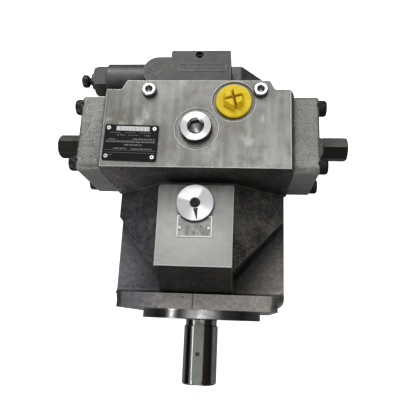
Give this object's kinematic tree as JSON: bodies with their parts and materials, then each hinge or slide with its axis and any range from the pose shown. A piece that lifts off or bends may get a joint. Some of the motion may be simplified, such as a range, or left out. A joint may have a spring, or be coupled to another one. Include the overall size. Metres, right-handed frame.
{
  "type": "axial piston pump",
  "caption": "Cradle-type variable axial piston pump: square flange, keyed shaft, transverse stroke cylinder, angle indicator, side ports and a pressure controller.",
  "frame": {"origin": "centre of the mounting flange's face, on the shaft's axis", "axes": "shaft points along -Y, port plate towards +Y, machined top face with the data plate towards +Z"},
  "size_m": [0.3056, 0.354, 0.2698],
  "materials": {
    "cast_iron": "rough cast with machined faces",
    "cast_cover": "pitted cast, machined joint face",
    "valve_casting": "smooth dark casting",
    "black_steel": "black oxide",
    "dark_steel": "dark phosphated",
    "zinc_steel": "zinc plated",
    "ground_steel": "ground",
    "key_steel": "drawn, matt",
    "cradle_iron": "machined",
    "bronze": "machined",
    "spring_steel": "oiled",
    "seal_rubber": "matt",
    "ring_plastic": "filled plastic",
    "copper": "annealed",
    "aluminium": "brushed",
    "plate_black": "satin black with blank lines",
    "rivet_steel": "bright",
    "yellow_plastic": "moulded"
  },
  "bodies": {
    "case": {"housing": "cast_iron", "port_plate": "cast_iron", "port_plate_screws": "black_steel", "housing_seal": "seal_rubber", "distributor_plate": "ground_steel", "cover_left": "cast_cover", "cover_right": "cast_cover", "cover_screws": "black_steel", "cover_seals": "seal_rubber", "stop_lock_nuts": "zinc_steel", "stop_caps": "black_steel", "name_plate": "plate_black", "name_plate_rivets": "rivet_steel", "scale_plate": "aluminium", "scale_plate_rivets": "rivet_steel", "centre_plug": "zinc_steel", "centre_plug_seal": "copper", "small_plugs": "zinc_steel", "port_cap": "yellow_plastic", "drain_plug": "zinc_steel", "seal_carrier": "ground_steel", "shaft_seal": "seal_rubber", "retaining_ring": "spring_steel", "front_bearing_outer": "ground_steel", "rear_bearing_outer": "ground_steel", "cradle_shells": "bronze", "indicator_bush": "bronze", "indicator_seal": "seal_rubber", "valve_body": "valve_casting", "valve_screws": "black_steel", "spring_housing": "dark_steel", "valve_lock_nut": "black_steel", "valve_spring": "spring_steel", "valve_end_plug": "zinc_steel"},
    "rotor": {"drive_shaft": "ground_steel", "shaft_key": "key_steel", "front_bearing_inner": "ground_steel", "front_bearing_rollers": "ground_steel", "rear_bearing_inner": "ground_steel", "rear_bearing_rollers": "ground_steel", "cylinder_barrel": "ground_steel", "pistons": "ground_steel", "spherical_guide": "ground_steel", "barrel_spring": "spring_steel", "spring_seat": "spring_steel"},
    "tilting_cradle": {"cradle": "cradle_iron", "lever_pin": "ground_steel", "lever_bush": "bronze", "indicator_stem": "ground_steel", "indicator_disc": "aluminium", "indicator_screw": "black_steel"},
    "slipper_set": {"slippers": "bronze", "retaining_plate": "ground_steel"},
    "stroke_piston_set": {"stroke_piston": "ground_steel", "piston_rings": "ring_plastic"},
    "stop_left": {"stop_screw_left": "zinc_steel"},
    "stop_right": {"stop_screw_right": "zinc_steel"},
    "spool": {"valve_spool": "ground_steel"},
    "setting_plate": {"spring_plate": "ground_steel"},
    "setting_screw": {"adjusting_screw": "black_steel"}
  },
  "joints": [
    {"name": "shaft_spin", "type": "hinge", "parent": "case", "child": "rotor", "pos_m": [0, 0, 0], "axis": [0, -1, 0], "continuous": true},
    {"name": "cradle_tilt", "type": "hinge", "parent": "case", "child": "tilting_cradle", "pos_m": [0, 0.1002, 0], "axis": [0, 0, 1], "range_deg": [-15, 15], "deforming": ["pistons"]},
    {"name": "slipper_spin", "type": "hinge", "parent": "tilting_cradle", "child": "slipper_set", "pos_m": [0, 0.1002, 0], "axis": [0, -1, 0], "continuous": true},
    {"name": "stroke_piston_slide", "type": "slide", "parent": "case", "child": "stroke_piston_set", "axis": [-1, 0, 0], "range_m": [-0.0176, 0.0176]},
    {"name": "stop_left_travel", "type": "slide", "parent": "case", "child": "stop_left", "axis": [-1, 0, 0], "range_m": [0, 0.003]},
    {"name": "stop_right_travel", "type": "slide", "parent": "case", "child": "stop_right", "axis": [1, 0, 0], "range_m": [0, 0.003]},
    {"name": "spool_slide", "type": "slide", "parent": "case", "child": "spool", "axis": [1, 0, 0], "range_m": [-0.002, 0.002], "deforming": ["valve_spring"]},
    {"name": "setting_travel", "type": "slide", "parent": "case", "child": "setting_plate", "axis": [1, 0, 0], "range_m": [-0.003, 0.003], "deforming": ["valve_spring"]},
    {"name": "setting_turn", "type": "hinge", "parent": "setting_plate", "child": "setting_screw", "pos_m": [-0.12, 0.2415, 0.116], "axis": [1, 0, 0], "range_deg": [-720.5, 720.5]}
  ],
  "couplings": [
    {"joint": "slipper_spin", "follows": "shaft_spin", "ratio": 1},
    {"joint": "stroke_piston_slide", "follows": "cradle_tilt", "m_per_rad": 0.06703},
    {"joint": "setting_turn", "follows": "setting_travel", "rad_per_m": 4188.8}
  ]
}
